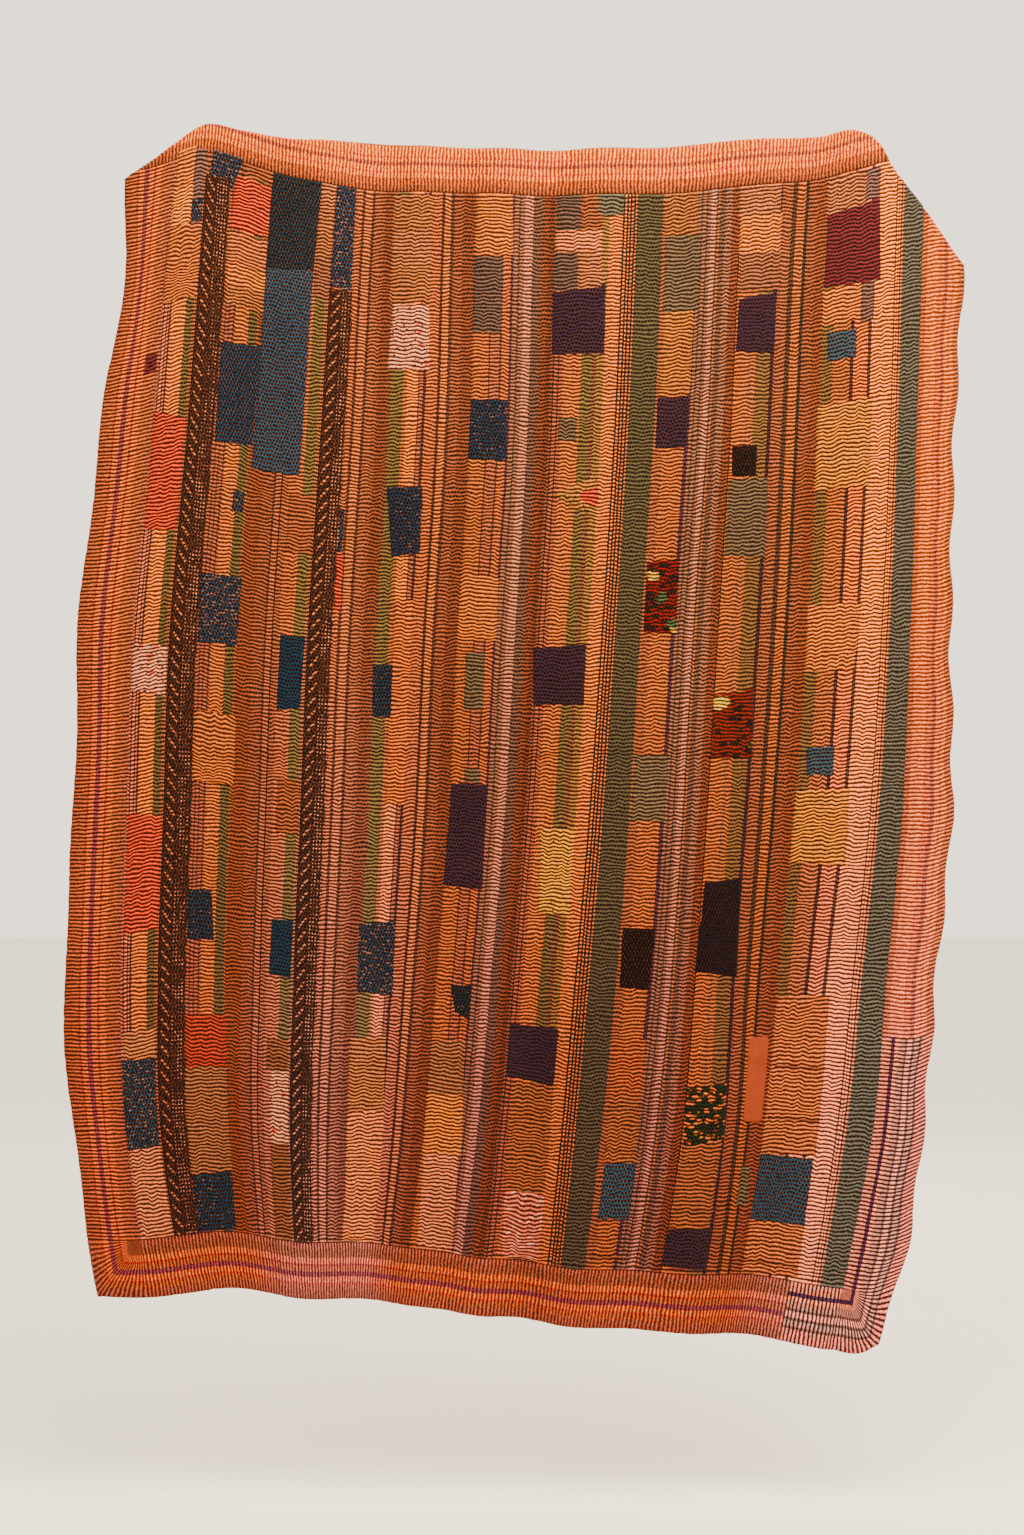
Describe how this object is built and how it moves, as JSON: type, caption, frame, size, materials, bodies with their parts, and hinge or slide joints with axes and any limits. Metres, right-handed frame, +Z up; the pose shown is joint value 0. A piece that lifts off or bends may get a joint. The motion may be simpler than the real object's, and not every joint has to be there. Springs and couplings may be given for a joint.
{
  "type": "patchwork quilt",
  "caption": "Stitched patchwork quilt of striped and plain cotton, with striped mitred borders, hanging from its top edge with both top corners folded behind.",
  "frame": {"origin": "middle of the top edge, on the turn of the cloth between the two places where it is held", "axes": "+X to the viewer's right, +Y from the quilt's front to its back, +Z up; the front faces -Y"},
  "size_m": [1.3583, 0.0685, 1.8317],
  "materials": {
    "patchwork": "soft puckered cotton, hand stitched",
    "border_cloth": "soft puckered cotton, hand stitched",
    "repair_cloth": "soft puckered cotton, hand stitched",
    "trim_cloth": "figured cotton trim, hand stitched",
    "smooth_cloth": "plain woven cotton, unquilted"
  },
  "bodies": {
    "root": {"quilt_field": "patchwork", "border_top": "border_cloth", "border_left": "border_cloth", "border_right": "border_cloth", "border_bottom": "border_cloth", "border_repair": "repair_cloth", "trim_band_1": "trim_cloth", "trim_band_2": "trim_cloth", "smooth_patch": "smooth_cloth"}
  },
  "joints": []
}
